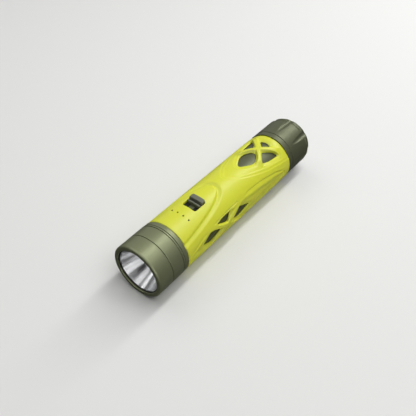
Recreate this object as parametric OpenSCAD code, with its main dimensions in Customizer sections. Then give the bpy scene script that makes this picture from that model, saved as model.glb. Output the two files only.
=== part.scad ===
// Pocket flashlight: turned aluminium head and tail cap on a battery tube, in a ribbed moulded grip.
// The beam leaves towards -X, the thumb switch faces +Z, and the grip rests on Z = 0.
// Stations are distances along the axis from the front of the bezel. Angles round the axis start
// at the switch and are positive towards -Y.

/* [Head] */
// Wall of the bezel ring over its thread
bezel_wall = 1.0; // [0.8:0.05:1.6]
// Wall of the head body between its two threads
head_wall = 1.1; // [1:0.05:1.3]
// Length of the bezel ring
bezel_len = 10.8; // [9.5:0.1:13]
// Width of the lens that the bezel's front lip covers
lip_cover = 0.7; // [0.5:0.05:1]
// Thickness of the bezel's front lip
lip_t = 0.8; // [0.5:0.1:1.2]
// Rounding of the bezel's front edge
bezel_round = 1.2; // [0.6:0.1:1.3]
// Width of the turned line round the head
line_w = 0.5; // [0.2:0.1:0.8]
// Depth of the turned line round the head
line_depth = 0.2; // [0.1:0.05:0.4]
// Distance of the turned line from the back of the head body
line_back = 0.9; // [0.5:0.1:2]

/* [Light] */
// Thickness of the glass lens
lens_t = 1.2; // [0.8:0.1:1.6]
// Thickness of the rubber gasket in front of the lens
gasket_t = 0.3; // [0.2:0.05:0.5]
// Thickness of the rubber gasket round the lens
gasket_wall = 0.4; // [0.3:0.05:0.45]
// Width of the gasket that shows inside the lip
gasket_show = 0.4; // [0.2:0.1:0.6]
// Distance of the reflector's mouth inside the bezel's lip
reflector_inset = 0.5; // [0.4:0.05:1]
// Depth of the reflector's parabola, from its mouth to its apex
reflector_depth = 20.7; // [19.5:0.1:21]
// Wall of the reflector
reflector_wall = 0.9; // [0.6:0.1:1]
// Radius of the hole in the reflector's base
reflector_hole_r = 4.2; // [3.8:0.1:4.6]
// Thickness of the reflector's rim
reflector_rim = 1.0; // [0.7:0.1:1.3]
// Side of the square light emitter
emitter_w = 3.5; // [3:0.1:4]
// Height of the light emitter
emitter_h = 0.7; // [0.5:0.05:0.9]
// Thickness of every circuit board
board_t = 1.6; // [1:0.1:1.8]
// Distance of the emitter board's edge from the seat round the heat sink
led_board_inset = 0.5; // [0.2:0.05:1.2]
// Thickness of the heat sink's disc
sink_t = 4.0; // [3:0.1:5]
// Length of the heat sink's cup, which holds the driver
cup_len = 6.35; // [5.5:0.05:8]
// Wall of the heat sink's cup
sink_wall = 0.9; // [0.7:0.1:1.2]
// Step between the cell's bore and the bore that seats the heat sink
sink_step = 1.0; // [0.8:0.05:1.2]
// Radius of a lead
lead_r = 0.6; // [0.4:0.05:0.8]
// Distance of the emitter's leads from the axis
lead_off = 6.5; // [5.8:0.1:8]

/* [Tube] */
// Clearance round the cell
cell_clear = 0.4; // [0.2:0.05:0.5]
// Wall of the battery tube under the grip
tube_wall = 3.25; // [3.1:0.05:3.5]
// Height of the tube's front ring above the grip
ring_proud = 0.1; // [0:0.05:0.3]
// Length of the tube's front ring, in front of the grip
ring_len = 3.2; // [2.5:0.1:5]
// Height above the tube's wall of its front thread, which the head screws on
spigot_rise = 0.25; // [0.2:0.05:0.3]
// Length of the tube's front thread
spigot_len = 7.8; // [6.5:0.1:9]
// Wall of the tube under its rear thread
rear_wall = 1.3; // [1.2:0.05:1.5]
// Length of the tube's rear thread beyond the cell
rear_past_cell = 6.0; // [5:0.1:7]
// Thickness of the sealing rings' section
seal_d = 0.7; // [0.5:0.05:0.8]

/* [Cell] */
// Radius of the cell
cell_r = 10.6; // [10.4:0.05:10.8]
// Length of the cell with its button
cell_len = 70; // [65:0.5:72]
// Radius of the cell's button
button_r = 3.6; // [3:0.1:4.5]
// Height of the cell's button
button_h = 1.0; // [0.8:0.1:1.5]
// Distance that the cell reaches past the grip
cell_past_grip = 4.5; // [4:0.1:6]
// Height of the front contact spring
front_spring_len = 2.1; // [1.8:0.1:3]
// Height of the tail spring
tail_spring_len = 10.5; // [9.5:0.1:12]
// Radius of the tail spring's coil
tail_spring_r = 5.0; // [4:0.1:6]
// Turns of the tail spring
tail_spring_turns = 5; // [4:1:6]

/* [Grip] */
// Wall of the moulded grip
grip_wall = 2.2; // [2.1:0.05:2.6]
// Depth of the dished areas round the windows
dish_depth = 0.7; // [0.4:0.05:0.9]
// Width of the crossing ribs
rib_w = 2.6; // [2:0.1:3]
// Rounding of the windows' corners
window_round = 1.6; // [0.8:0.1:1.8]
// Size of a window at the tube, as a share of its size at the surface
window_taper_share = 0.88; // [0.78:0.01:0.95]
// Width of the groove round the switch panel
groove_w = 5.0; // [3:0.1:6]
// Depth of the groove round the switch panel
groove_depth = 0.6; // [0.2:0.05:0.8]

/* [Switch] */
// Distance from the grip's front to the middle of the switch recess
switch_back = 23.8; // [23:0.1:25]
// Length of the switch recess
recess_len = 10.0; // [9.5:0.1:11]
// Width of the switch recess
recess_w = 9.6; // [9:0.1:11]
// Depth of the switch recess
recess_depth = 2.2; // [1.8:0.05:2.4]
// Corner radius of the switch recess
recess_round = 1.6; // [1:0.1:2]
// Length of the thumb slider
knob_len = 5.6; // [5:0.1:6]
// Height of the thumb slider
knob_h = 3.4; // [2.8:0.1:4]
// Gap round the thumb slider
knob_gap = 0.3; // [0.25:0.05:0.4]
// Length of the slider's stem
stem_len = 2.4; // [2.3:0.05:2.6]
// Width of the slider's stem
stem_w = 2.6; // [2.5:0.05:2.8]
// Side of the switch lever
lever_w = 1.6; // [1.4:0.05:1.7]
// Thickness of the shutter strip
shutter_t = 0.5; // [0.4:0.05:0.6]
// Width of the shutter strip
shutter_w = 7.2; // [6.5:0.1:7.4]
// Thickness of the recess floor
floor_t = 2.4; // [2.2:0.05:2.6]
// Distance of the switch board's long edges from the frame's sides
board_side = 0.9; // [0.8:0.05:1.1]
// Width of the switch frame
frame_w = 16.6; // [16.2:0.1:17]
// Length of the slide switch
micro_len = 9.0; // [8.8:0.1:9.6]
// Width of the slide switch
micro_w = 6.6; // [5:0.1:7]
// Height of the slide switch
micro_h = 2.2; // [2:0.05:2.3]
// Distance from the grip's front to the row of indicator lights
dots_back = 12.0; // [11.5:0.1:12.2]
// Radius of an indicator light
dot_r = 0.45; // [0.3:0.05:0.6]
// Angle between neighbouring indicator lights
dot_step_deg = 14; // [10:0.5:15]
// Radius of a board screw
screw_r = 0.7; // [0.5:0.05:0.8]
// Length of a board screw in the frame
screw_len = 2.5; // [2:0.1:3]

/* [Tail] */
// Depth of the tail cap below the grip
cap_drop = 0.1; // [0:0.05:0.6]
// Length of the tail cap
cap_len = 25.1; // [24.5:0.1:30]
// Distance from the cap's front edge to its turned groove
cap_line = 3.9; // [3:0.1:6]
// Distance from the cap's front edge to the start of the flutes
flute_start = 7.4; // [6:0.1:10]
// Radius of the round cutter that makes a flute
flute_r = 2.6; // [2:0.1:3.5]
// Depth of a flute at the cap's end
flute_depth = 1.5; // [0.8:0.05:2]
// Number of flutes
flutes = 8; // [6:1:12]
// Distance from the cap's end to its rear groove
rim_line = 4.1; // [3.5:0.1:5]
// Drop of the rounded rim at the cap's end
rim_drop = 1.2; // [0.8:0.1:1.6]
// Length of the rounded rim at the cap's end
rim_len = 1.7; // [1:0.1:2.5]

/* [Hidden] */

// Clearances shared by the pieces
fit = 0.05;          // between pieces that screw or press together
running_fit = 0.07;  // between the tail threads, which turn
seam = 0.1;          // between turned parts that meet face to face
loose = 0.2;         // between pieces that are dropped in
play = 0.3;          // between pieces that move past each other
over = 1;            // overrun of every cut
round_fn = 96;

// Colours
olive = "#6f7459";
dark_olive = "#55584a";
lime = "#ccd43a";
black = "#1b1b19";
board_green = "#1f5a3a";
silver = "#c9cacb";
copper = "#b8763e";
white = "#ecebe4";

// Radii of the tube, the grip and the cap, from the cell outwards
tube_bore_r = cell_r + cell_clear;
tube_r = tube_bore_r + tube_wall;
grip_bore_r = tube_r + fit;
grip_r = grip_bore_r + grip_wall;
ring_r = grip_r + ring_proud;
rear_thread_r = tube_bore_r + rear_wall;
cap_r = grip_r - cap_drop;

// Radii of the head, from the tube's front thread outwards
sink_bore_r = tube_bore_r + sink_step;
led_board_r = sink_bore_r - led_board_inset;
spigot_r = tube_r + spigot_rise;
head_bore_r = spigot_r + fit;
head_thread_r = head_bore_r + head_wall;
head_r = head_thread_r + fit + bezel_wall;
lens_r = spigot_r + loose;
lens_pocket_r = lens_r + gasket_wall + fit;
lip_r = lens_r - lip_cover;
reflector_r = lip_r - reflector_inset;
reflector_focus = reflector_r * reflector_r / (4 * reflector_depth);

// Stations of the light
lens_s = lip_t + gasket_t;
reflector_s = lens_s + lens_t;
head_front_s = reflector_s + reflector_rim + seam;
reflector_apex = reflector_s + reflector_depth;
reflector_back = reflector_apex - reflector_hole_r * reflector_hole_r / (4 * reflector_focus);
led_board_s = reflector_apex - reflector_focus + emitter_h;
sink_s = led_board_s + board_t;
sink_seat = sink_s + sink_t;
cup_end = sink_seat + cup_len;
cup_gap = 0.8;
cup_r = tube_bore_r - seam;
driver_s = cup_end - cup_gap - board_t;

// Stations of the switch frame's front, and of the visible parts before it
guide_len = 1.6;
guide_margin = 0.7;
frame_front = cup_end + cup_gap;
dots_s = frame_front + fit + guide_margin + loose + guide_len / 2;
grip_s = dots_s - dots_back;
ring_s = grip_s - ring_len;
head_s = bezel_len + seam;

// Switch stations and heights above the axis
switch_s = grip_s + switch_back;
knob_travel = recess_len - knob_len - 2 * knob_gap;
knob_s = switch_s + knob_travel / 2;
knob_w = recess_w - 2 * knob_gap;
slot_len = stem_len + knob_travel + 2 * play;
shutter_len = slot_len + knob_travel + 2 * play;
cavity_len = shutter_len + knob_travel + 2 * play;
cavity_w = shutter_w + 2 * play;
floor_z = grip_r - recess_depth;
ceiling_z = floor_z - floor_t;
board_z = ceiling_z - 2 * micro_h;
board_w = frame_w - 2 * board_side;
lever_half = lever_w / 2;
shutter_z = ceiling_z - loose - shutter_t;
knob_z = floor_z + loose;
frame_end_wall = 1.2;
frame_back = switch_s + cavity_len / 2 + frame_end_wall;
board_inset = 0.6;
frame_r = tube_r - fit;
screw_y = (cavity_w + board_w) / 4;
screw_stations = [(dots_s + switch_s - cavity_len / 2 + guide_len / 2) / 2, switch_s + slot_len * 0.8];
screw_head_r = 1.25;
screw_head_h = 0.8;
dot_angles = [for (i = [-1.5, -0.5, 0.5, 1.5]) i * dot_step_deg];
guide_pocket_z = board_z + 2.6 * emitter_h;

// Cell, grip and tail stations
contact_gap = 0.4;
contact_t = 1.2;
contact_s = frame_back + contact_gap;
cell_s = contact_s + contact_t + front_spring_len;
cell_end = cell_s + cell_len;
grip_end = cell_end - cell_past_grip;
grip_len = grip_end - grip_s;
cap_s = grip_end + seam;
total_len = cap_s + cap_len;
rear_end = cell_end + rear_past_cell;
tail_board_s = cell_end + tail_spring_len;
tail_board_end = tail_board_s + board_t;
cap_thread_r = rear_thread_r + running_fit;
tail_seal_s = grip_end + 2.5 * seal_d;
tail_board_r = rear_thread_r - 2 * play;
retainer_t = 1.2;
retainer_r = cap_thread_r - fit;
retainer_hole_r = 0.77 * rear_thread_r;
cap_pocket_r = 0.79 * tail_board_r;
cap_end_wall = 4.2;
front_spring_r = 2.6;
front_wire_r = 0.25;
tail_wire_r = 0.45;

// Windows and dished areas. Each point is a share of the grip's length and an angle in degrees from
// the middle of its group. The rear group is on the top and the bottom, the side group on both sides.
rear_kite_shares = [[0.618, 0], [0.730, 23.5], [0.787, 19], [0.833, 0], [0.787, -19], [0.730, -23.5]];
rear_triangle_shares = [[0.849, 9.5], [0.781, 33], [0.843, 41], [0.939, 44.5], [0.915, 27]];
rear_tip_shares = [[0.896, 0], [0.953, 15.5], [0.943, 0], [0.953, -15.5]];
rear_cross_shares = [0.855, 0];
rear_rib_shares = [[0.745, 35], [0.965, 40]];
rear_dish_shares = [[0.490, 0], [0.512, 12], [0.530, 16.5], [0.578, 28], [0.644, 37.5], [0.718, 46.5],
    [0.784, 53], [0.853, 58], [0.930, 62], [1.02, 65]];
side_front_shares = [[0.150, 0], [0.222, 16.5], [0.299, 0], [0.222, -16.5]];
side_wing_shares = [[0.268, 21.2], [0.390, 25.6], [0.352, 5]];
side_back_shares = [[0.412, 0], [0.470, 15.5], [0.583, 0], [0.470, -15.5]];
side_cross_shares = [0.352, 0];
side_rib_shares = [[0.170, 33], [0.530, 40]];
side_dish_shares = [[-0.02, 5], [0.040, 12], [0.091, 18], [0.138, 23.2], [0.184, 26.8], [0.268, 29.5],
    [0.335, 31.4], [0.398, 32.6], [0.480, 33.8], [0.575, 34.2], [0.643, 33.2], [0.723, 30.2],
    [0.784, 26.4], [0.848, 21.8], [0.913, 12.5], [0.940, 6], [0.948, 0]];
// Switch panel groove: its closed end, its length and its angle at the grip's front, and its power
panel_end_share = 0.412;
panel_deg = 53;
panel_power = 2.6;
panel_reach_share = 1.03;
panel_steps = 12;
// Side view of the thumb slider, as shares of its length and height
knob_shares = [[0, 0], [0, 0.42], [0.05, 0.56], [0.20, 0.60], [0.27, 0.38], [0.36, 0.36],
    [0.48, 0.88], [0.62, 1], [0.88, 1], [1, 0.80], [1, 0]];

// Places a piece drawn in stations round the axis: the grip's middle stands on the origin.
module place() translate([-total_len / 2, 0, head_r]) children();

// Turns a closed outline of [station, radius] points round the axis.
module turned(points)
    rotate([0, 90, 0]) rotate_extrude($fn = round_fn) polygon([for (p = points) [p[1], p[0]]]);

// A plain turned cylinder between two stations.
module rod(from, to, r)
    translate([from, 0, 0]) rotate([0, 90, 0]) cylinder(r = r, h = to - from, $fn = round_fn);

// A turned ring between two stations.
module ring(from, to, r_in, r_out)
    turned([[from, r_in], [to, r_in], [to, r_out], [from, r_out]]);

// A sealing ring of round section, centred on a station and a radius.
module seal(station, r)
    translate([station, 0, 0]) rotate([0, 90, 0])
        rotate_extrude($fn = round_fn) translate([r, 0]) circle(d = seal_d, $fn = 32);

// A box between two corners.
module block(low, high) translate(low) cube(high - low);

// Corners rounded with short curves, each between two points at the rounding's distance.
function unit(v) = v / norm(v);
function rounded(corners, r, steps = 4) = let (n = len(corners)) [
    for (i = [0 : n - 1])
        let (here = corners[i], before = corners[(i + n - 1) % n], after = corners[(i + 1) % n],
            reach = min(r, 0.45 * norm(before - here), 0.45 * norm(after - here)),
            a = here + reach * unit(before - here), b = here + reach * unit(after - here))
        for (k = [0 : steps])
            let (t = k / steps) (1 - t) * (1 - t) * a + 2 * t * (1 - t) * here + t * t * b];

// An upright block with a rounded outline, given by its middle, size and corner radius.
module tablet(middle, size, r, z_from, z_to) {
    x = size[0] / 2;
    y = size[1] / 2;
    corners = [[-x, -y], [x, -y], [x, y], [-x, y]];
    translate([middle[0], middle[1], z_from]) linear_extrude(height = z_to - z_from)
        polygon(rounded(corners, r));
}

// A solid through rings of points, each anticlockwise seen from the last ring.
module loft(rings) {
    n = len(rings[0]);
    last = len(rings) - 1;
    function middle(ring) = [for (k = [0 : 2]) let (v = [for (p = ring) p[k]]) v * [for (q = v) 1] / n];
    points = concat([for (ring = rings) each ring], [middle(rings[0]), middle(rings[last])]);
    sides = [for (j = [0 : last - 1], i = [0 : n - 1])
        let (a = j * n + i, b = j * n + (i + 1) % n) each [[a, a + n, b + n], [a, b + n, b]]];
    caps = [for (i = [0 : n - 1]) let (b = (i + 1) % n)
        each [[n * (last + 1), i, b], [n * (last + 1) + 1, last * n + b, last * n + i]]];
    polyhedron(points = points, faces = concat(sides, caps));
}

// A point of the grip: its station, its angle in degrees and its distance from the axis.
function on_grip(station, deg, r) = [station, -r * sin(deg), r * cos(deg)];
function mm_round(deg) = deg * PI / 180 * grip_r;
function deg_round(mm) = mm / grip_r * 180 / PI;
function flat(points) = [for (p = points) [grip_s + p[0] * grip_len, mm_round(p[1])]];
function plan(p) = [grip_s + p[0] * grip_len, -grip_r * sin(p[1])];

// A window's cutter: its rounded outline at the surface, drawn in towards the tube.
module window(corner_shares) {
    outline = rounded(flat(corner_shares), window_round);
    n = len(outline);
    middle = [for (k = [0, 1]) let (v = [for (p = outline) p[k]]) v * [for (q = v) 1] / n];
    function level(share, r) = [for (p = outline)
        let (q = middle + share * (p - middle)) on_grip(q[0], deg_round(q[1]), r)];
    top_share = 1 + (1 - window_taper_share) / (grip_r - grip_bore_r) * over;
    bottom_share = window_taper_share - (1 - window_taper_share) / (grip_r - grip_bore_r) * over;
    loft([level(bottom_share, grip_bore_r - over), level(top_share, grip_r + over)]);
}

// A window and its twin on the other side of the group's middle.
module windows_pair(corner_shares) {
    window(corner_shares);
    mirror([0, 1, 0]) window(corner_shares);
}

// A straight rib in plan, from the crossing towards a point, and its twin.
module rib_pair(cross_share, end_share) {
    for (side = [1, -1]) {
        a = plan(cross_share);
        b = plan([end_share[0], side * end_share[1]]);
        across = rib_w / 2 * unit([a[1] - b[1], b[0] - a[0]]);
        polygon([a + across, a - across, b - across, b + across]);
    }
}

// The dished area of a group: its outline and its mirror image, less the ribs that cross in it.
module dish(outline_shares, cross_share, rib_ends) {
    near = [for (p = outline_shares) plan(p)];
    far = [for (i = [len(outline_shares) - 1 : -1 : 0])
        if (outline_shares[i][1] != 0) plan([outline_shares[i][0], -outline_shares[i][1]])];
    difference() {
        linear_extrude(height = grip_r + over) difference() {
            polygon(concat(near, far));
            for (end = rib_ends) rib_pair(cross_share, end);
        }
        rod(grip_s - 3 * over, grip_end + 3 * over, grip_r - dish_depth);
    }
}

// The groove round the switch panel: a shallow valley along a curve s = end - length * (angle share)^power.
module panel_groove() {
    end_s = grip_s + panel_end_share * grip_len;
    length = panel_end_share * grip_len;
    function path(i) = let (u = i / panel_steps * panel_reach_share)
        [end_s - length * pow(abs(u), panel_power), mm_round(u * panel_deg)];
    half = groove_w / 2;
    section = [[-1.1, 1], [-1.1, 0.2], [-0.6, -0.64], [0, -1], [0.6, -0.64], [1.1, 0.2], [1.1, 1]];
    rings = [for (i = [-panel_steps : panel_steps])
        let (here = path(i), along = unit(path(i + 0.2) - path(i - 0.2)), across = [along[1], -along[0]])
        [for (p = section) let (q = here + p[0] * half * across,
            r = grip_r + (p[1] == 1 ? over : p[1] * groove_depth)) on_grip(q[0], deg_round(q[1]), r)]];
    loft(rings);
}

// A wire along a coil, from one station to another, with its ends laid against both.
module coil(from, to, r, wire_r, turns) {
    sides = 6;
    per_turn = 14;
    steps = turns * per_turn;
    rings = [for (j = [0 : steps])
        let (a = 360 * j / per_turn, x = from + wire_r + (to - from - 2 * wire_r) * j / steps)
        [for (k = [0 : sides - 1]) let (b = 360 * k / sides, d = r + wire_r * cos(b))
            [x + wire_r * sin(b), d * cos(a), d * sin(a)]]];
    loft(rings);
}

// Head and light

module bezel_ring() color(olive) place() {
    step_s = head_front_s - seam;
    // Quarter round at the front edge, from the lip's flat to the barrel
    edge = [for (k = [0 : 8]) let (a = 90 * k / 8)
        [bezel_round * (1 - sin(a)), head_r - bezel_round + bezel_round * cos(a)]];
    turned(concat([[lip_t, lip_r], [0, lip_r]], [for (k = [8 : -1 : 0]) edge[k]],
        [[bezel_len, head_r], [bezel_len, head_thread_r + fit], [step_s, head_thread_r + fit],
        [step_s, lens_pocket_r], [lip_t, lens_pocket_r]]));
}

module lens_gasket() color(black) place() {
    in_r = lip_r - gasket_show;
    turned([[lip_t, in_r], [lens_s, in_r], [lens_s, lens_r], [reflector_s, lens_r],
        [reflector_s, lens_r + gasket_wall], [lip_t, lens_r + gasket_wall]]);
}

module lens() color("#cfe3ea", 0.4) place() rod(lens_s, reflector_s, lens_r);

// The bowl follows r^2 = 4 f (apex - s) inside, with an even wall outside.
function bowl_r(s) = sqrt(4 * reflector_focus * (reflector_apex - s));
module reflector() color(silver) place() {
    steps = 14;
    stations = [for (k = [0 : steps]) let (u = k / steps)
        reflector_back + (reflector_s - reflector_back) * u * u];
    rim_end = reflector_s + reflector_rim;
    inner = [for (s = stations) [s, bowl_r(s)]];
    outer = [for (k = [steps : -1 : 0]) let (s = stations[k])
        if (s > rim_end) [s, bowl_r(s) + reflector_wall]];
    rim_r = (head_bore_r + lens_pocket_r) / 2;
    turned(concat(inner, [[reflector_s, rim_r], [rim_end, rim_r],
        [rim_end, bowl_r(rim_end) + reflector_wall]], outer));
}

module led_centering_ring() color(white) place() {
    flange_r = reflector_hole_r + 2 * reflector_wall;
    hole = emitter_w + 2 * fit;
    difference() {
        union() {
            rod(reflector_back + fit, led_board_s, flange_r);
            rod(reflector_back - gasket_t, led_board_s, reflector_hole_r - seam);
        }
        block([reflector_back - over, -hole / 2, -hole / 2], [led_board_s + over, hole / 2, hole / 2]);
    }
}

module led_emitter() color("#e8d67a") place() {
    base_h = 0.7 * emitter_h;
    block([led_board_s - base_h, -emitter_w / 2, -emitter_w / 2],
        [led_board_s, emitter_w / 2, emitter_w / 2]);
    chip = 0.7 * emitter_w;
    block([led_board_s - emitter_h, -chip / 2, -chip / 2],
        [led_board_s - base_h, chip / 2, chip / 2]);
}

module led_board() color(silver) place() rod(led_board_s, sink_s, led_board_r);

// Disc that seats in the tube, with a cup behind it for the driver and two holes for the leads
module heat_sink() color(copper) place() difference() {
    union() {
        rod(sink_s, sink_seat, sink_bore_r - seam);
        rod(sink_seat, cup_end, cup_r);
    }
    rod(sink_seat + sink_wall, cup_end + over, cup_r - sink_wall);
    for (side = [1, -1]) translate([0, side * lead_off, 0])
        rod(sink_s - over, sink_seat + sink_wall + over, lead_r + play);
}

module led_leads() color("#b02a22") place()
    for (side = [1, -1]) translate([0, side * lead_off, 0]) rod(sink_s, driver_s, lead_r);

module driver_board() color(board_green) place() {
    part_w = 3 * board_t;
    rod(driver_s, driver_s + board_t, cup_r - sink_wall - fit);
    block([driver_s - board_t, -part_w / 2, -part_w / 2], [driver_s, part_w / 2, part_w / 2]);
}

module head_body() color(olive) place() {
    line_s = ring_s - seam - line_back;
    turned([[head_front_s, head_bore_r], [head_front_s, head_thread_r], [head_s, head_thread_r],
        [head_s, head_r], [line_s - line_w, head_r], [line_s - line_w / 2, head_r - line_depth],
        [line_s, head_r], [ring_s - seam, head_r], [ring_s - seam, head_bore_r]]);
}

module head_seal() color(black) place()
    seal(ring_s - 2 * seal_d, head_bore_r - seam / 2 - seal_d / 2);

// Tube, cell and grip

module battery_tube() color(olive) place() {
    floor_front = head_bore_r - seam - seal_d;
    floor_rear = tube_bore_r + seal_d;
    front_s = ring_s - 2 * seal_d;
    opening = loose + frame_w / 2;
    difference() {
        turned([[ring_s - spigot_len, sink_bore_r], [ring_s - spigot_len, spigot_r],
            [front_s - seal_d, spigot_r], [front_s - seal_d, floor_front],
            [front_s + seal_d, floor_front], [front_s + seal_d, spigot_r], [ring_s, spigot_r],
            [ring_s, ring_r], [grip_s, ring_r], [grip_s, tube_r], [grip_end, tube_r],
            [grip_end, rear_thread_r], [tail_seal_s - seal_d, rear_thread_r],
            [tail_seal_s - seal_d, floor_rear], [tail_seal_s + seal_d, floor_rear],
            [tail_seal_s + seal_d, rear_thread_r], [rear_end, rear_thread_r],
            [rear_end, tube_bore_r], [sink_seat, tube_bore_r], [sink_seat, sink_bore_r]]);
        block([frame_front - loose, -opening, 0], [frame_back + loose, opening, tube_r + over]);
    }
}

// Moulded grip: dished areas, crossing ribs, windows to the tube, switch recess and panel groove
module grip_sleeve() color(lime) place() difference() {
    ring(grip_s, grip_end, grip_bore_r, grip_r);
    for (turn = [0, 180]) rotate([turn, 0, 0]) {
        dish(rear_dish_shares, rear_cross_shares, rear_rib_shares);
        window(rear_kite_shares);
        window(rear_tip_shares);
        windows_pair(rear_triangle_shares);
    }
    for (turn = [90, -90]) rotate([turn, 0, 0]) {
        dish(side_dish_shares, side_cross_shares, side_rib_shares);
        window(side_front_shares);
        window(side_back_shares);
        windows_pair(side_wing_shares);
    }
    panel_groove();
    tablet([switch_s, 0], [recess_len, recess_w], recess_round, 0, grip_r + over);
    for (a = dot_angles) translate([dots_s, -grip_r * sin(a), 0])
        cylinder(r = dot_r + fit, h = grip_r + over, $fn = 32);
}

module battery_cell() color("#3f6ea8") place() {
    neck_s = cell_s + 5 * button_h;
    neck_depth = 0.5 * button_h;
    can_s = cell_s + button_h;
    turned([[cell_s, 0], [cell_s, button_r], [can_s, button_r],
        [can_s, cell_r - neck_depth], [can_s + neck_depth, cell_r], [neck_s, cell_r],
        [neck_s + neck_depth, cell_r - neck_depth], [neck_s + 2 * neck_depth, cell_r],
        [cell_end - neck_depth, cell_r], [cell_end, cell_r - neck_depth], [cell_end, 0]]);
}

module cell_insulator() color(white) place()
    ring(cell_s + 0.6 * button_h, cell_s + button_h, button_r + loose, cell_r - button_h);

module tail_seal() color(black) place() seal(tail_seal_s, tube_bore_r + seal_d + seam / 2 + seal_d / 2);

// Switch

module switch_frame() color(black) place() {
    half = frame_w / 2;
    difference() {
        union() {
            intersection() {
                rod(frame_front, frame_back, frame_r);
                block([frame_front, -half, board_z], [frame_back, half, tube_r + over]);
            }
            tablet([switch_s, 0], [recess_len - 2 * loose, recess_w - 2 * loose], recess_round - loose,
                ceiling_z, floor_z);
        }
        block([switch_s - cavity_len / 2, -cavity_w / 2, 0],
            [switch_s + cavity_len / 2, cavity_w / 2, ceiling_z]);
        block([switch_s - slot_len / 2, -stem_w / 2 - play, 0],
            [switch_s + slot_len / 2, stem_w / 2 + play, floor_z + over]);
        block([dots_s - guide_len / 2 - loose, guide_y(-1) - loose, 0],
            [dots_s + guide_len / 2 + loose, guide_y(1) + loose, guide_pocket_z + loose]);
        for (a = dot_angles) translate([dots_s, -grip_r * sin(a), 0])
            cylinder(r = dot_r + fit, h = grip_r, $fn = 32);
        for (s = screw_stations, side = [1, -1]) translate([s, side * screw_y, 0])
            cylinder(r = screw_r + fit, h = board_z + screw_len + play, $fn = 24);
    }
}

// Half width of the light guide's bar, beside the last light
function guide_y(side) = side * (grip_r * sin(dot_angles[3]) + guide_len / 2);

module light_guide() color("#dfe7c8") place() {
    block([dots_s - guide_len / 2, guide_y(-1), board_z + emitter_h + loose],
        [dots_s + guide_len / 2, guide_y(1), guide_pocket_z]);
    for (a = dot_angles) {
        y = grip_r * sin(a);
        translate([dots_s, -y, board_z + emitter_h + 2 * loose])
            cylinder(r = dot_r, h = grip_r * cos(a) - seam - board_z - emitter_h - 2 * loose, $fn = 32);
    }
}

module indicator_leds() color(white) place() {
    w = guide_len / 2;
    for (a = dot_angles) translate([dots_s, -grip_r * sin(a), 0])
        block([-w / 2, -w, board_z], [w / 2, w, board_z + emitter_h]);
}

module switch_board() color(board_green) place() difference() {
    block([frame_front + board_inset, -board_w / 2, board_z - board_t],
        [frame_back - board_inset, board_w / 2, board_z]);
    for (s = screw_stations, side = [1, -1]) translate([s, side * screw_y, 0])
        cylinder(r = screw_r + fit, h = board_z + over, $fn = 24);
}

module board_screws() color(silver) place()
    for (s = screw_stations, side = [1, -1]) translate([s, side * screw_y, board_z - board_t]) {
        cylinder(r = screw_r, h = board_t + screw_len, $fn = 24);
        translate([0, 0, -screw_head_h]) difference() {
            cylinder(r = screw_head_r, h = screw_head_h, $fn = 24);
            translate([0, 0, -over]) cylinder(r = screw_r, h = over + screw_head_h / 2, $fn = 6);
        }
    }

module slide_switch_body() color(silver) place() difference() {
    block([switch_s - micro_len / 2, -micro_w / 2, board_z],
        [switch_s + micro_len / 2, micro_w / 2, board_z + micro_h]);
    block([switch_s - knob_travel / 2 - lever_half - play, -lever_half - play, board_z + micro_h / 2],
        [switch_s + knob_travel / 2 + lever_half + play, lever_half + play, board_z + micro_h + over]);
}

module slide_switch_lever() color(white) place()
    block([knob_s - lever_half, -lever_half, board_z + micro_h / 2 + loose],
        [knob_s + lever_half, lever_half, shutter_z - fit]);

module slider_shutter() color(black) place() difference() {
    block([knob_s - shutter_len / 2, -shutter_w / 2, shutter_z],
        [knob_s + shutter_len / 2, shutter_w / 2, shutter_z + shutter_t]);
    block([knob_s - stem_len / 2 - fit, -stem_w / 2 - fit, shutter_z - over],
        [knob_s + stem_len / 2 + fit, stem_w / 2 + fit, shutter_z + shutter_t + over]);
}

// Thumb slider: a ridged top on a stem that drops through the shutter and grips the switch lever
module thumb_slider() color(olive) place() {
    side = [for (p = knob_shares) [(p[0] - 0.5) * knob_len, p[1] * knob_h]];
    stem_end = board_z + micro_h + loose;
    grip_w = lever_w + 2 * fit;
    intersection() {
        translate([knob_s, knob_w / 2, knob_z]) rotate([90, 0, 0]) linear_extrude(height = knob_w)
            polygon(side);
        tablet([knob_s, 0], [knob_len, knob_w], recess_round - knob_gap, knob_z, knob_z + knob_h);
    }
    difference() {
        block([knob_s - stem_len / 2, -stem_w / 2, stem_end],
            [knob_s + stem_len / 2, stem_w / 2, knob_z]);
        block([knob_s - grip_w / 2, -grip_w / 2, stem_end - over],
            [knob_s + grip_w / 2, grip_w / 2, shutter_z]);
    }
}

module switch_leads() color("#b02a22") place() {
    wire_z = board_z - board_t / 2;
    for (side = [1, -1]) translate([0, side * 3 * lead_r, wire_z])
        rod(driver_s + board_t, frame_front + board_inset, lead_r);
    translate([0, 0, wire_z]) rod(frame_back - board_inset, contact_s, lead_r);
}

module front_contact_board() color(board_green) place()
    rod(contact_s, contact_s + contact_t, tube_bore_r - seam);

module front_contact_spring() color(copper) place()
    coil(contact_s + contact_t, cell_s, front_spring_r, front_wire_r, 2);

// Tail

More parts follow.
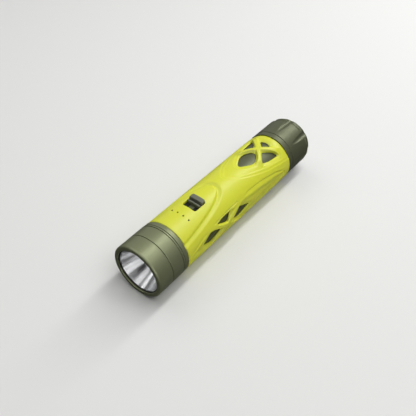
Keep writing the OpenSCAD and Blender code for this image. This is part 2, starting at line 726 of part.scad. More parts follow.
module tail_cap() color(dark_olive) place() {
    line_s = cap_s + cap_line;
    rim_s = total_len - rim_line;
    seal_bore_r = rear_thread_r + 2 * play;
    seal_end = tail_seal_s + seal_d + 2 * play;
    tilt = atan(flute_depth / (cap_len - flute_start));
    difference() {
        turned([[cap_s, seal_bore_r], [cap_s, cap_r - line_depth], [cap_s + line_depth, cap_r],
            [line_s - line_w / 2, cap_r], [line_s, cap_r - line_depth], [line_s + line_w / 2, cap_r],
            [rim_s - line_w / 2, cap_r], [rim_s, cap_r - line_depth], [rim_s + line_w, cap_r],
            [total_len - rim_len, cap_r - rim_drop / 4],
            [total_len - rim_len / 3, cap_r - 0.6 * rim_drop], [total_len, cap_r - rim_drop],
            [total_len, 0], [total_len - cap_end_wall, 0], [total_len - cap_end_wall, cap_pocket_r],
            [tail_board_end, cap_pocket_r], [tail_board_end, tail_board_r + play],
            [tail_board_s, tail_board_r + play], [tail_board_s, cap_thread_r],
            [seal_end, cap_thread_r], [seal_end, seal_bore_r]]);
        for (i = [0 : flutes - 1]) rotate([360 / flutes * i, 0, 0])
            translate([cap_s + flute_start, 0, cap_r + flute_r]) rotate([0, 90 + tilt, 0])
                cylinder(r = flute_r, h = cap_len, $fn = 48);
    }
}

module tail_retaining_ring() color(silver) place()
    ring(tail_board_s - retainer_t, tail_board_s, retainer_hole_r, retainer_r);

module tail_contact_board() color(board_green) place()
    rod(tail_board_s, tail_board_end, tail_board_r);

module tail_spring() color(copper) place()
    coil(cell_end, tail_board_s, tail_spring_r, tail_wire_r, tail_spring_turns);

bezel_ring();
lens_gasket();
lens();
reflector();
led_centering_ring();
led_emitter();
led_board();
heat_sink();
led_leads();
driver_board();
head_body();
head_seal();
battery_tube();
grip_sleeve();
switch_frame();
switch_board();
slide_switch_body();
slide_switch_lever();
thumb_slider();
slider_shutter();
indicator_leds();
light_guide();
board_screws();
switch_leads();
front_contact_board();
front_contact_spring();
battery_cell();
cell_insulator();
tail_seal();
tail_cap();
tail_retaining_ring();
tail_contact_board();
tail_spring();
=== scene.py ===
import math

import bmesh
import bpy
import numpy as np
from mathutils import Matrix, Vector
from mathutils.geometry import delaunay_2d_cdt


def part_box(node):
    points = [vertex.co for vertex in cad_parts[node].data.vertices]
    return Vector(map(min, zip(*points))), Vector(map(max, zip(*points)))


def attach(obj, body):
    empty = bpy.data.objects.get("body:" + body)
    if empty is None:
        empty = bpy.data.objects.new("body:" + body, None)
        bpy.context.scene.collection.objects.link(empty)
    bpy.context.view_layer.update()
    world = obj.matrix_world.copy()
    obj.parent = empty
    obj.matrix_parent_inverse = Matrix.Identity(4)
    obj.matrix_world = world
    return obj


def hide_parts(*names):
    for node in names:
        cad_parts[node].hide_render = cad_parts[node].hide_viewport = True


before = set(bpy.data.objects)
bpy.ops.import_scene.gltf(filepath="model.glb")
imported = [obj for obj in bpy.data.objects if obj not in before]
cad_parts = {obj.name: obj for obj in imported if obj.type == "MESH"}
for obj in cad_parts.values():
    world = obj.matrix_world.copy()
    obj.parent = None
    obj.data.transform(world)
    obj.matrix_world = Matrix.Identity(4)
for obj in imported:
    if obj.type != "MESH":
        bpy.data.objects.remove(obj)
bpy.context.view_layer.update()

# A pocket flashlight that lies on its side. Stations are millimetres along the axis from the front of
# the bezel, angles are taken round the axis from the switch side towards -Y, and radii from the axis.
MM = 0.001
UM = 0.001 * MM
FRONT_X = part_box("bezel_ring")[0].x
AXIS_Z = (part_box("bezel_ring")[0].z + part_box("bezel_ring")[1].z) / 2


def span(node):
    """Front station, rear station and outer radius of a turned CAD node, in millimetres."""
    low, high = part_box(node)
    return (low.x - FRONT_X) / MM, (high.x - FRONT_X) / MM, (high.y - low.y) / 2 / MM


_, BEZEL_END, HEAD_R = span("bezel_ring")
HEAD_S, HEAD_END, _ = span("head_body")
GASKET_S, GASKET_END, GASKET_R = span("lens_gasket")
LENS_S, LENS_END, LENS_R = span("lens")
REFLECTOR_S, _, REFLECTOR_R = span("reflector")
TUBE_S, TUBE_END, RING_R = span("battery_tube")
GRIP_S, GRIP_END, GRIP_R = span("grip_sleeve")
_, _, CELL_R = span("battery_cell")
CAP_S, CAP_END, CAP_R = span("tail_cap")
GRIP_LEN = GRIP_END - GRIP_S

# Clearance of pieces pressed or screwed together, and the seam between turned pieces that meet
FIT, SEAM = 0.05, 0.1
# Rounding of a turned edge that is only deburred
DEBURR = 0.05
# The tube's bore and wall round the cell, and its wall under the rear thread
TUBE_BORE_R = CELL_R + 0.4
TUBE_R = TUBE_BORE_R + 3.25
REAR_R = TUBE_BORE_R + 1.3
GRIP_BORE_R = TUBE_R + FIT
# The rear sealing ring: its thickness and its station
SEAL_D, SEAL_S = 0.7, GRIP_END + 1.75
# Corners of a square, anticlockwise
SQUARE = np.array([(-1, -1), (1, -1), (1, 1), (-1, 1)])


# Meshes


# Millimetres under which two points become one
MERGE = 0.002
# The most of a side that a rounding takes, how far beyond it the next point lies, and the most for both
ROUND_SHARE, HOLD, HOLD_SHARE = 0.42, 0.12, 0.49


def polar(s, angle, r):
    """Points in metres from stations, angles in radians and radii: (x, -r sin a, axis + r cos a)."""
    s, angle, r = np.broadcast_arrays(s, angle, r)
    return np.stack([FRONT_X + s * MM, -r * np.sin(angle) * MM, AXIS_Z + r * np.cos(angle) * MM], -1)


def piece(name, points, faces, material, slot, body="body", replaces=(), crease=40.0):
    """A mesh object from points in metres and arrays of triangles or quads. Double points are merged,
    normals are turned outwards, and edges sharper than crease degrees stay sharp."""
    mesh = bpy.data.meshes.new(name)
    points = np.asarray(points, np.float32).reshape(-1, 3)
    corners = np.concatenate([f.ravel() for f in faces]).astype(np.int32)
    sizes = np.concatenate([np.full(len(f), f.shape[1]) for f in faces])
    starts = np.concatenate([[0], np.cumsum(sizes)[:-1]]).astype(np.int32)
    mesh.vertices.add(len(points))
    mesh.vertices.foreach_set("co", points.ravel())
    mesh.loops.add(len(corners))
    mesh.loops.foreach_set("vertex_index", corners)
    mesh.polygons.add(len(sizes))
    mesh.polygons.foreach_set("loop_start", starts)
    mesh.update(calc_edges=True)
    work = bmesh.new()
    work.from_mesh(mesh)
    bmesh.ops.remove_doubles(work, verts=work.verts, dist=MERGE * MM)
    bmesh.ops.recalc_face_normals(work, faces=work.faces)
    work.to_mesh(mesh)
    work.free()
    mesh.polygons.foreach_set("use_smooth", np.ones(len(mesh.polygons), bool))
    mesh.set_sharp_from_angle(angle=math.radians(crease))
    mesh.materials.append(material)
    made = bpy.data.objects.new(name, mesh)
    bpy.context.scene.collection.objects.link(made)
    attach(made, body)
    if replaces:
        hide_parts(*replaces)


def grid(rows, columns, wrap_rows=False):
    """Quads over a grid of points numbered row by row. Each row is closed, and wrap_rows joins the last
    row to the first."""
    i = np.arange(rows if wrap_rows else rows - 1)[:, None]
    j = np.arange(columns)[None, :]
    here, there = i * columns, (i + 1) % rows * columns
    beside = (j + 1) % columns
    return np.stack([here + j, here + beside, there + beside, there + j], -1).reshape(-1, 4)


def filleted(corners, steps=5):
    """A closed line through (station, radius, rounding) corners. Each rounding is a circular arc between
    the points where it touches both sides, with one point more on each side that keeps the sides flat."""
    line = []
    for i, (s, r, rounding) in enumerate(corners):
        here = np.array([s, r])
        if rounding == 0:
            line.append(here)
            continue
        before = np.array(corners[i - 1][:2]) - here
        after = np.array(corners[(i + 1) % len(corners)][:2]) - here
        long_a, long_b = np.linalg.norm(before), np.linalg.norm(after)
        a, b = before / long_a, after / long_b
        half = math.acos(np.clip(a @ b, -1, 1)) / 2
        reach = min(rounding / math.tan(half), ROUND_SHARE * long_a, ROUND_SHARE * long_b)
        middle = here + (a + b) / np.linalg.norm(a + b) * reach / math.cos(half)
        arm_a, arm_b = here + a * reach - middle, here + b * reach - middle
        whole = math.acos(np.clip(arm_a @ arm_b / (arm_a @ arm_a), -1, 1))
        u = np.linspace(0, 1, steps + 1)[:, None]
        arc = (np.sin((1 - u) * whole) * arm_a + np.sin(u * whole) * arm_b) / math.sin(whole) + middle
        line += [here + a * min(reach + HOLD, HOLD_SHARE * long_a), *arc,
                 here + b * min(reach + HOLD, HOLD_SHARE * long_b)]
    return np.array(line)


def turned(name, line, material, slot, turns=256, cut=None, in_cad=True, **words):
    """A closed (station, radius) line carried round the axis: point (i, j) lies at station s_i, angle
    2 pi j / turns and radius r_i, less what cut(s, angle, r) takes away. in_cad: it replaces the CAD node
    of its name."""
    angle = 2 * math.pi * np.arange(turns)[None, :] / turns
    s = np.repeat(line[:, :1], turns, 1)
    r = np.repeat(line[:, 1:], turns, 1)
    if cut:
        r = r - cut(s, angle, r)
    piece(name, polar(s, angle, r), [grid(len(line), turns, wrap_rows=True)], material, slot,
          replaces=[name] if in_cad else (), **words)


# Materials


# The values between which most of a noise lies
NOISE_LOW, NOISE_HIGH = 0.3, 0.7
# The most of the tint that is mixed into a colour
TINT_SHARE = 0.25
# Metres between the bands of a wave texture of scale 1
WAVE_BAND = 0.314


def linear(colour):
    """A colour written as #rrggbb in sRGB, as the linear values that shaders take."""
    srgb = np.array([int(colour[i:i + 2], 16) for i in (1, 3, 5)]) / 255
    return (*np.where(srgb <= 0.04045, srgb / 12.92, ((srgb + 0.055) / 1.055) ** 2.4), 1.0)


def add(tree, kind, settings=(), **inputs):
    """A node of a kind, with its settings and with each input set to a value or linked to a socket. An
    input goes by its name, or by its number as i0, i1 and so on."""
    node = tree.nodes.new(kind)
    for key, value in dict(settings).items():
        setattr(node, key, value)
    for key, value in inputs.items():
        numbered = key[0] == "i" and key[1:].isdigit()
        socket = node.inputs[int(key[1:]) if numbered else key.replace("_", " ")]
        if isinstance(value, bpy.types.NodeSocket):
            tree.links.new(value, socket)
        else:
            socket.default_value = value
    return node


def finish_of(name, colour, roughness, metallic=0.0, tint=None, tint_mm=6.0, grain_mm=0.25, grain_um=6.0,
              turned_mm=0.0, turned_um=0.0, smudge=0.08, polished_about=None, **shader):
    """A principled surface: its colour drifts towards tint over tint_mm, its roughness by the share
    smudge, and its bump is a grain of grain_mm, grain_um high, with turning lines turned_mm apart. A piece
    polished about an axis has its highlights drawn out by the shader's anisotropy."""
    made = bpy.data.materials.new(name)
    made.use_nodes = True
    tree = made.node_tree
    tree.nodes.clear()
    place = add(tree, "ShaderNodeTexCoord").outputs["Object"]
    drift = add(tree, "ShaderNodeTexNoise", Vector=place, Scale=1 / (tint_mm * MM), Detail=3.0,
                Roughness=0.55).outputs["Fac"]
    surface = add(tree, "ShaderNodeBsdfPrincipled", Metallic=metallic, **shader)
    if tint:
        share = add(tree, "ShaderNodeMapRange", Value=drift, i1=NOISE_LOW, i2=NOISE_HIGH, i3=0.0,
                    i4=TINT_SHARE)
        mixed = add(tree, "ShaderNodeMix", {"data_type": "RGBA"}, i0=share.outputs[0], i6=linear(colour),
                    i7=linear(tint))
        tree.links.new(mixed.outputs[2], surface.inputs["Base Color"])
    else:
        surface.inputs["Base Color"].default_value = linear(colour)
    worn = add(tree, "ShaderNodeMapRange", Value=drift, i1=NOISE_LOW, i2=NOISE_HIGH,
               i3=roughness * (1 - smudge), i4=roughness * (1 + smudge))
    tree.links.new(worn.outputs[0], surface.inputs["Roughness"])
    if polished_about:
        way_round = add(tree, "ShaderNodeTangent", {"direction_type": "RADIAL", "axis": polished_about})
        tree.links.new(way_round.outputs[0], surface.inputs["Tangent"])
    patterns = []
    if grain_um:
        grain = add(tree, "ShaderNodeTexNoise", Vector=place, Scale=1 / (grain_mm * MM), Detail=2.0)
        patterns.append((grain, grain_um))
    if turned_um:
        lathe = add(tree, "ShaderNodeTexWave", {"bands_direction": "X"}, Vector=place,
                    Scale=WAVE_BAND / (turned_mm * MM))
        patterns.append((lathe, turned_um))
    normal = None
    for pattern, high in patterns:
        bump = add(tree, "ShaderNodeBump", Height=pattern.outputs["Fac"], Distance=high * UM)
        if normal:
            tree.links.new(normal, bump.inputs["Normal"])
        normal = bump.outputs[0]
    if normal:
        tree.links.new(normal, surface.inputs["Normal"])
    out = add(tree, "ShaderNodeOutputMaterial")
    tree.links.new(surface.outputs[0], out.inputs["Surface"])
    return made


# Real grains are mostly under 0.1 mm wide, too fine to show, so they are drawn at 0.1 to 0.6 mm.
# Aluminium, bead blasted and then dyed in the anodising bath: a satin metal with a fine even grain.
BLASTED = {"metallic": 0.55, "tint_mm": 9.0, "grain_mm": 0.18, "grain_um": 4.0}
OLIVE = finish_of("olive_anodised_aluminium", "#777C5D", 0.43, tint="#6A6F54", **BLASTED)
DARK_OLIVE = finish_of("dark_olive_anodised_aluminium", "#5B5F46", 0.46, tint="#535740", **BLASTED)
# Aluminium, turned and left bare: bright, with the tool's lines, drawn 0.35 mm apart to show.
BARE_EDGE = finish_of("turned_aluminium", "#8B8F86", 0.3, metallic=1.0, grain_mm=0.2, grain_um=1.5,
                      turned_mm=0.35, turned_um=3.0)
# Moulded ABS with a fine spark-eroded grain: even colour, a broad soft gloss.
LIME = finish_of("lime_moulded_abs", "#CED12B", 0.42, tint="#C2CC28", tint_mm=14.0, grain_mm=0.3, grain_um=5.0,
                 IOR=1.53, Subsurface_Weight=0.06, Subsurface_Scale=0.0012)
# Glass-filled nylon, moulded: the fibres roughen its skin and dull it.
BLACK_NYLON = finish_of("black_moulded_nylon", "#121211", 0.7, tint="#181815", grain_um=8.0,
                        Specular_IOR_Level=0.25)
OLIVE_NYLON = finish_of("olive_moulded_nylon", "#5F6153", 0.45, tint="#64664F", grain_um=8.0)
# Silicone rubber, pressed in a matt mould: black without a clear highlight.
BLACK_RUBBER = finish_of("black_silicone_rubber", "#141413", 0.6, grain_mm=0.3)
# Aluminium vapour on a bowl polished round its axis: a mirror that draws lights out to radial streaks.
CHROME = finish_of("vapour_coated_reflector", "#E4E5E6", 0.3, metallic=1.0, grain_um=0.0, smudge=0.04,
                   polished_about="X", Anisotropic=0.95, Anisotropic_Rotation=0.25)
# Unfilled nylon, moulded: off-white and softly shining.
WHITE_NYLON = finish_of("white_moulded_nylon", "#E9E8E0", 0.5, tint="#DEDCCF", grain_mm=0.3, grain_um=5.0)
# Phosphor stirred into poured silicone: an even yellow.
PHOSPHOR = finish_of("phosphor_silicone", "#E9D24C", 0.3, tint="#E3C93E", grain_mm=0.1, grain_um=4.0)
# Acrylic, moulded: glossy, dark while no light is behind it, and near black as painted shade in the light
# holes.
SHADE_DARKENED_ACRYLIC = finish_of("shade_darkened_moulded_acrylic", "#34361C", 0.2, grain_um=0.0, IOR=1.49, Transmission_Weight=0.3)
# Copper, turned: a warm metal with fine scratches.
COPPER = finish_of("copper_heat_sink", "#C07A4B", 0.35, metallic=1.0, tint="#A9673C", grain_mm=0.2,
                   grain_um=3.0)
# White solder mask printed on an aluminium core: flat and bright.
CORE_BOARD = finish_of("aluminium_core_board", "#D9D9D4", 0.4, tint="#CFCFC8", grain_mm=0.2, grain_um=3.0)
# Green solder mask over glass cloth and epoxy: glossy, slightly uneven.
GREEN_BOARD = finish_of("solder_masked_glass_epoxy", "#1F5F40", 0.3, tint="#1A5438", grain_mm=0.4, grain_um=5.0)
# Silicone drawn over stranded wire: an even red with a soft gloss.
RED_WIRE = finish_of("red_wire_insulation", "#A82A22", 0.4, tint="#98231C", grain_mm=0.3, grain_um=4.0)
# Steel, zinc plated in a drum: bright grey, slightly uneven.
STEEL = finish_of("zinc_plated_steel", "#B9BBBD", 0.3, metallic=1.0, tint="#A7AAAD", grain_mm=0.2, grain_um=3.0)
# Drawn spring wire, gold plated: a smooth yellow metal.
SPRING = finish_of("gold_plated_spring_wire", "#CBA65A", 0.28, metallic=1.0, tint="#B8934A", grain_mm=0.1,
                   grain_um=2.0)
# Vinyl, shrunk on with hot air: an even blue with a wavy gloss.
CELL_WRAP = finish_of("shrunk_vinyl_sleeve", "#3D6AA3", 0.32, tint="#355F95", grain_mm=0.6, grain_um=5.0)
# Hardened float glass, coated against reflections: clear and flat, with hardly a highlight.
GLASS = finish_of("coated_float_glass", "#FFFFFF", 0.0, grain_um=0.0, smudge=0.0, IOR=1.46,
                  Transmission_Weight=1.0)


# Head


# Wall of the bezel ring over its thread
BEZEL_WALL = 1.0


def make_bezel():
    """The outline of the bezel ring, with its round front edge and a relief before the joint."""
    thread_r, pocket_r, lip_r, lip_t = HEAD_R - BEZEL_WALL, LENS_R + 0.45, LENS_R - 0.7, 0.8
    step, relief_s, relief_r = HEAD_S - SEAM, BEZEL_END - 0.3, HEAD_R - 0.5
    line = filleted([
        (lip_t, lip_r, 0.1), (0, lip_r, 0.25), (0, HEAD_R, 1.2), (relief_s, HEAD_R, 0.12),
        (relief_s, relief_r, DEBURR), (BEZEL_END, relief_r, DEBURR), (BEZEL_END, thread_r, DEBURR),
        (step, thread_r, DEBURR), (step, pocket_r, DEBURR), (lip_t, pocket_r, DEBURR)])
    turned("bezel_ring", line, OLIVE, "olive_anodised")


def make_head_body():
    """The outline of the head body, with the turned line before its rear edge."""
    bore_r, thread_r, step = GASKET_R - 0.55, HEAD_R - BEZEL_WALL - FIT, BEZEL_END + SEAM
    line_end, wide, floor_r, edge = HEAD_END - 0.9, 0.6, HEAD_R - 0.5, 0.08
    line = filleted([
        (HEAD_S, bore_r, DEBURR), (HEAD_S, thread_r, 0.1), (step, thread_r, DEBURR), (step, HEAD_R, 0.3),
        (line_end - wide, HEAD_R, edge), (line_end - wide * 0.75, floor_r, edge),
        (line_end - wide * 0.25, floor_r, edge), (line_end, HEAD_R, edge), (HEAD_END, HEAD_R, 0.15),
        (HEAD_END, bore_r, DEBURR)])
    turned("head_body", line, OLIVE, "olive_anodised")


def make_lens():
    """The outline of the lens, a flat disc with ground edges."""
    line = filleted([(LENS_S, 0, 0), (LENS_S, LENS_R, 0.15), (LENS_END, LENS_R, 0.15), (LENS_END, 0, 0)])
    turned("lens", line, GLASS, "lens_glass")


def make_gasket():
    """The outline of the gasket: a sleeve round the lens, and a lip that shows before it."""
    show_r, squeezed = LENS_R - 1.1, 0.02
    line = filleted([
        (GASKET_S, show_r, 0.08), (LENS_S, show_r, DEBURR), (LENS_S, LENS_R, squeezed),
        (GASKET_END, LENS_R, squeezed), (GASKET_END, GASKET_R, DEBURR), (GASKET_S, GASKET_R, 0.08)])
    turned("lens_gasket", line, BLACK_RUBBER, "black_rubber")


def make_reflector():
    """The bowl follows r^2 = 4 f (apex - s) inside, with an even wall and a flat rim outside."""
    mouth_r, hole_r, wall, rim, deep = LENS_R - 1.2, 4.2, 0.9, 1.0, 20.7
    apex, rim_end = REFLECTOR_S + deep, REFLECTOR_S + rim
    focus = mouth_r ** 2 / (4 * (apex - REFLECTOR_S))
    r = np.linspace(hole_r, mouth_r, 60)
    inner = np.stack([apex - r ** 2 / (4 * focus), r], 1)
    outer = inner[::-1] + [0, wall]
    outer = outer[outer[:, 0] > rim_end]
    lip = [[REFLECTOR_S, REFLECTOR_R], [rim_end, REFLECTOR_R],
           [rim_end, math.sqrt(4 * focus * (apex - REFLECTOR_S - rim)) + wall]]
    line = np.concatenate([inner, lip, outer])
    turned("reflector", line, CHROME, "vapour_chrome", crease=30)


# Battery tube


# The tail thread: its pitch, its depth, how steep its flanks are, and the length of a step
PITCH, THREAD_DEPTH, FLANK, THREAD_STEP = 2.0, 0.35, 1.6, 0.12


def thread(s, angle, r, start, end, root):
    """Depth of a trapezoid thread: a wave along s - pitch angle / 2 pi, clipped flat at crest and root,
    that fades in and out over half a pitch, and only on the wall of radius root."""
    phase = ((s - start) / PITCH - angle / (2 * math.pi)) % 1
    wave = np.clip(FLANK * (0.5 - np.abs(2 * phase - 1)) + 0.5, 0, 1)
    fade = np.clip((s - start) / (PITCH / 2), 0, 1) * np.clip((end - s) / (PITCH / 2), 0, 1)
    on_wall = np.abs(r - root) < 0.01
    return np.where(on_wall, THREAD_DEPTH * wave * fade, 0)


def make_tube():
    """The tube with its rear thread, and the ring at its front that shows between head and grip."""
    spigot_r, sink_r, floor_r = TUBE_R + 0.25, TUBE_BORE_R + 1.0, TUBE_BORE_R + SEAL_D
    seal_from, seal_to, flange_s = SEAL_S - SEAL_D, SEAL_S + SEAL_D, GRIP_S - SEAM
    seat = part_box("heat_sink")[0].x / MM - FRONT_X / MM + 4.0
    thread_s = np.arange(seal_to + 0.3, TUBE_END - 0.4, THREAD_STEP)
    rear = np.stack([thread_s, np.full(len(thread_s), REAR_R)], 1)
    front = filleted([
        (TUBE_S, sink_r, 0.1), (TUBE_S, spigot_r, 0.2), (flange_s, spigot_r, 0), (flange_s, TUBE_R, 0),
        (GRIP_END, TUBE_R, 0.1), (GRIP_END, REAR_R, DEBURR), (seal_from, REAR_R, DEBURR),
        (seal_from, floor_r, DEBURR), (seal_to, floor_r, DEBURR), (seal_to, REAR_R, DEBURR)])
    back = filleted([(TUBE_END, REAR_R, 0.2), (TUBE_END, TUBE_BORE_R, 0.2), (seat, TUBE_BORE_R, DEBURR),
                     (seat, sink_r, DEBURR)])
    line = np.concatenate([front, rear, back[1:]])
    turned("battery_tube", line, DARK_OLIVE, "dark_anodised", turns=192,
           cut=lambda s, a, r: thread(s, a, r, thread_s[0], thread_s[-1], REAR_R))
    ring_s, ring_end, under_r = GRIP_S - 2.9, GRIP_S - 0.3, spigot_r + 0.01
    ring = filleted([(ring_s, under_r, 0.02), (ring_s, RING_R, 0.2), (ring_end, RING_R, 0.3),
                     (ring_end, under_r, 0.02)])
    turned("front_ring", ring, OLIVE, "olive_anodised", in_cad=False)


# Grip sleeve. Windows, dishes and ribs are drawn as shares of the grip's length and degrees from the
# middle of their group: the rear group is on the top and the bottom, the side group on both sides.

REAR_MIDDLES, SIDE_MIDDLES = (0, 180), (90, -90)
REAR_KITE = [(0.628, 0), (0.730, 23.5), (0.787, 19), (0.833, 0), (0.787, -19), (0.730, -23.5)]
REAR_TRIANGLE = [(0.849, 9.5), (0.781, 33), (0.843, 41), (0.939, 44.5), (0.915, 27)]
REAR_TIP = [(0.890, 0), (0.938, 16.5), (0.949, 0), (0.938, -16.5)]
REAR_CROSS = (0.855, 0)
REAR_RIBS = [(0.745, 35), (0.965, 40)]
REAR_DISH = [(0.490, 0), (0.494, 6), (0.512, 12), (0.530, 16.5), (0.578, 28), (0.644, 37.5), (0.718, 46.5),
             (0.784, 53), (0.853, 58), (0.930, 62), (1.02, 65)]
SIDE_FRONT = [(0.134, 0), (0.218, 18.5), (0.301, 0), (0.218, -18.5)]
SIDE_WING = [(0.262, 21.4), (0.322, 26.2), (0.392, 25.8), (0.355, 4.5)]
SIDE_BACK = [(0.410, 0), (0.470, 17), (0.575, 0), (0.470, -17)]
SIDE_CROSS = (0.352, 0)
SIDE_RIBS = [(0.170, 33), (0.530, 40)]
SIDE_DISH = [(-0.02, 5), (0.040, 12), (0.091, 18), (0.138, 23.2), (0.184, 26.8), (0.268, 29.5), (0.335, 31.4),
             (0.398, 32.6), (0.480, 33.8), (0.575, 34.2), (0.643, 33.2), (0.723, 30.2), (0.784, 26.4),
             (0.848, 21.8), (0.913, 12.5), (0.940, 6), (0.948, 0)]
PANEL_END, PANEL_DEG, PANEL_POWER = 0.412, 53.0, 2.6
# Half the width of a rib, how much wider it gets towards its end, and its shoulder
RIB_HALF, RIB_FLARE, RIB_SHOULDER = 0.9, 1.3, 1.2
# Shares of a rib's length at which it starts to widen and to sink, each with how much that takes
WIDEN_FROM, WIDEN_OVER, SINK_FROM, SINK_OVER = 0.5, 0.5, 0.7, 0.3
# The valley round the switch panel: its depth, the width of its wall at the panel and of its far slope
VALLEY_DEPTH, VALLEY_WALL, VALLEY_SLOPE = 0.9, 1.6, 2.8
# Falls inwards from the rear dish's edge: where each starts, how wide it is and how deep
REAR_FALLS = [(0.0, 0.5, 0.30), (2.05, 0.5, 0.26), (1.0, 7.0, 0.16)]
# The side dish's edge: a sharp fall, a slope that climbs back to a crest, and the fall behind the crest
SIDE_STEP, SIDE_STEP_W, SIDE_FALL, SIDE_FALL_W = 0.5, 0.5, 0.7, 3.2
# How far the crest lies inwards from the side dish's edge, by station, and where the triangles stop to
# follow it, before its line would cross itself
CREST_S, CREST_IN = [30, 46, 54, 62, 70, 86, 104, 116], [1.6, 1.5, 0.85, 0.85, 1.3, 2.9, 2.9, 1.2]
CREST_END = 112
# The pocket round every window: its depth at the lip, and how far it reaches
POCKET_DEPTH, POCKET_W = 0.55, 2.8
# Roundings of the windows' corners, and a window's size at the tube as a share of that outside
KITE_ROUND, TRIANGLE_ROUND = [4.2, 7.0, 6.0, 3.0, 6.0, 7.0], [1.6, 1.8, 3.0, 1.6, 4.0]
TIP_ROUND, DIAMOND_ROUND, WING_ROUND = [1.6, 1.2, 4.0, 1.2], [1.6] * 4, [1.6, 3.0, 1.6, 1.6]
REAR_TAPER, SIDE_TAPER = 0.9, 1.0
# The switch recess: its middle, half its length and width, its corners' rounding and its lip
RECESS_S, RECESS_HALF, RECESS_ROUND, RECESS_LIP = GRIP_S + 23.8, (5.0, 4.8), 1.6, 0.25
# The holes for the lights: station, radius, degrees apart, lip, and points round each
DOT_S, DOT_R, DOT_DEG, DOT_LIP, DOT_POINTS = GRIP_S + 12, 0.5, 14, 0.12, 20
# Millimetres of surface in a degree and in a whole turn, and the angle of the sheet's seam
ARC = math.pi / 180 * GRIP_R
WHOLE = 360 * ARC
SEAM_DEG = 230.0
# Radius of a window's lip, the undercut of its wall, and the rounding of the grip's ends
LIP, UNDERCUT, END_ROUND = 0.38, 0.4, 0.5
# Distance between the points of the outer skin, the inner skin and the end rings
FINE, COARSE, END_STEP = 0.4, 1.6, 0.5
# How far the inner skin stays from the grip's ends, and the flat round an end's bore
INNER_INSET, END_FLAT = 0.2, 0.25
# How far the lines that triangles follow stay from the ends' rounding and from the seam
END_CLEAR, SEAM_CLEAR = 0.4, 0.5
# Second difference of the height above which the outer skin keeps all its points
BEND = 0.004
# Steps in half the curve that rounds a corner, and the most of a side that the curve takes
HALF_CURVE, CURVE_SHARE = 6, 0.47


def flat(points):
    """Points of the grip laid flat: millimetres along the axis, and along the surface from the group's
    middle."""
    return np.array([(GRIP_S + share * GRIP_LEN, deg * ARC) for share, deg in points])


def smooth(x):
    """A step from 0 to 1 that leaves and arrives level, 3 x^2 - 2 x^3."""
    x = np.clip(x, 0, 1)
    return x * x * (3 - 2 * x)


def curve_through(points):
    """A Catmull-Rom curve through points: each stretch blends its four nearest points, in six steps."""
    p = np.concatenate([2 * points[:1] - points[1:2], points, 2 * points[-1:] - points[-2:-1]])
    u = np.linspace(0, 1, 6, endpoint=False)[:, None, None]
    a, b, c, d = p[:-3], p[1:-2], p[2:-1], p[3:]
    bent = 0.5 * (2 * b + (c - a) * u + (2 * a - 5 * b + 4 * c - d) * u ** 2 + (3 * b - a - 3 * c + d) * u ** 3)
    return np.concatenate([bent.transpose(1, 0, 2).reshape(-1, 2), points[-1:]])


def panel_curve():
    """The half edge of the switch panel, s = end - length (angle / reach)^power, from its open end."""
    u = np.linspace(1.1, 0, 60)
    return np.stack([GRIP_S + PANEL_END * GRIP_LEN * (1 - u ** PANEL_POWER), u * PANEL_DEG * ARC], 1)


REAR_EDGE = curve_through(flat(REAR_DISH))
SIDE_EDGE = curve_through(flat(SIDE_DISH))
PANEL_EDGE = panel_curve()


def nearest_on(s, t, a, way):
    """The share along the stretch a + u way at which it comes nearest to points, and their distance."""
    u = np.clip(((s - a[0]) * way[0] + (t - a[1]) * way[1]) / (way @ way), 0, 1)
    return u, np.hypot(s - a[0] - u * way[0], t - a[1] - u * way[1])


def distance(s, t, line):
    """Shortest distance from points (s, t) to the stretches of a line."""
    least = np.full(np.shape(s), 1e9)
    for a, b in zip(line[:-1], line[1:]):
        least = np.minimum(least, nearest_on(s, t, a, b - a)[1])
    return least


def depth_within(s, t, edge):
    """Distance inwards from a half edge (station, |t|) and its mirror image, negative outside it. An edge
    that starts more than 1 mm off the middle is open towards the front."""
    stations, reach = edge[np.argsort(edge[:, 0])].T
    before = reach[0] if reach[0] > 1 else -1
    limit = np.interp(s, stations, reach, left=before, right=-1)
    return distance(s, np.abs(t), edge) * np.where(np.abs(t) < limit, 1, -1)


def ribs_and_pockets(s, t, drop, cross, ends, windows, sinks):
    """A dish's depth with the pockets round its windows, less the ribs that cross between them. Along the
    share u of its length a rib gets wider, and where it sinks it meets the dish at its end."""
    rib = np.zeros(np.shape(s))
    middle = flat([cross])[0]
    for way in flat(ends) - middle:
        u, off = nearest_on(s, np.abs(t), middle, way)
        half = RIB_HALF + RIB_FLARE * smooth((u - WIDEN_FROM) / WIDEN_OVER)
        height = 1 - sinks * smooth((u - SINK_FROM) / SINK_OVER)
        rib = np.maximum(rib, (1 - smooth((off - half) / RIB_SHOULDER)) * height)
    gap = np.full(np.shape(s), 1e9)
    for loop in windows:
        gap = np.minimum(gap, distance(s, np.abs(t), np.concatenate([loop, loop[:1]])))
    return (drop + POCKET_DEPTH * (1 - smooth(gap / POCKET_W)) * (drop > 0)) * (1 - rib)


def rear_drop(s, t):
    """Depth of the rear dish: two ledges and a slope down from its edge."""
    depth_in = depth_within(s, t, REAR_EDGE)
    drop = sum(fall * smooth((depth_in - start) / width) for start, width, fall in REAR_FALLS)
    return ribs_and_pockets(s, t, drop, REAR_CROSS, REAR_RIBS, REAR_LOOPS, 1)


def crest_in(s):
    """How far the crest lies inwards from the side dish's edge at station s."""
    return np.interp(s, CREST_S, CREST_IN)


def side_drop(s, t):
    """Depth of the side dish: a sharp fall at its edge, a slope up to the crest, and the dish behind it."""
    depth_in = depth_within(s, t, SIDE_EDGE)
    crest = crest_in(s)
    slope = np.clip((crest - depth_in) / (crest - SIDE_STEP_W), 0, 1)
    drop = SIDE_STEP * smooth(depth_in / SIDE_STEP_W) * slope
    drop = drop + SIDE_FALL * smooth((depth_in - crest) / SIDE_FALL_W)
    return ribs_and_pockets(s, t, drop, SIDE_CROSS, SIDE_RIBS, SIDE_LOOPS, 0)


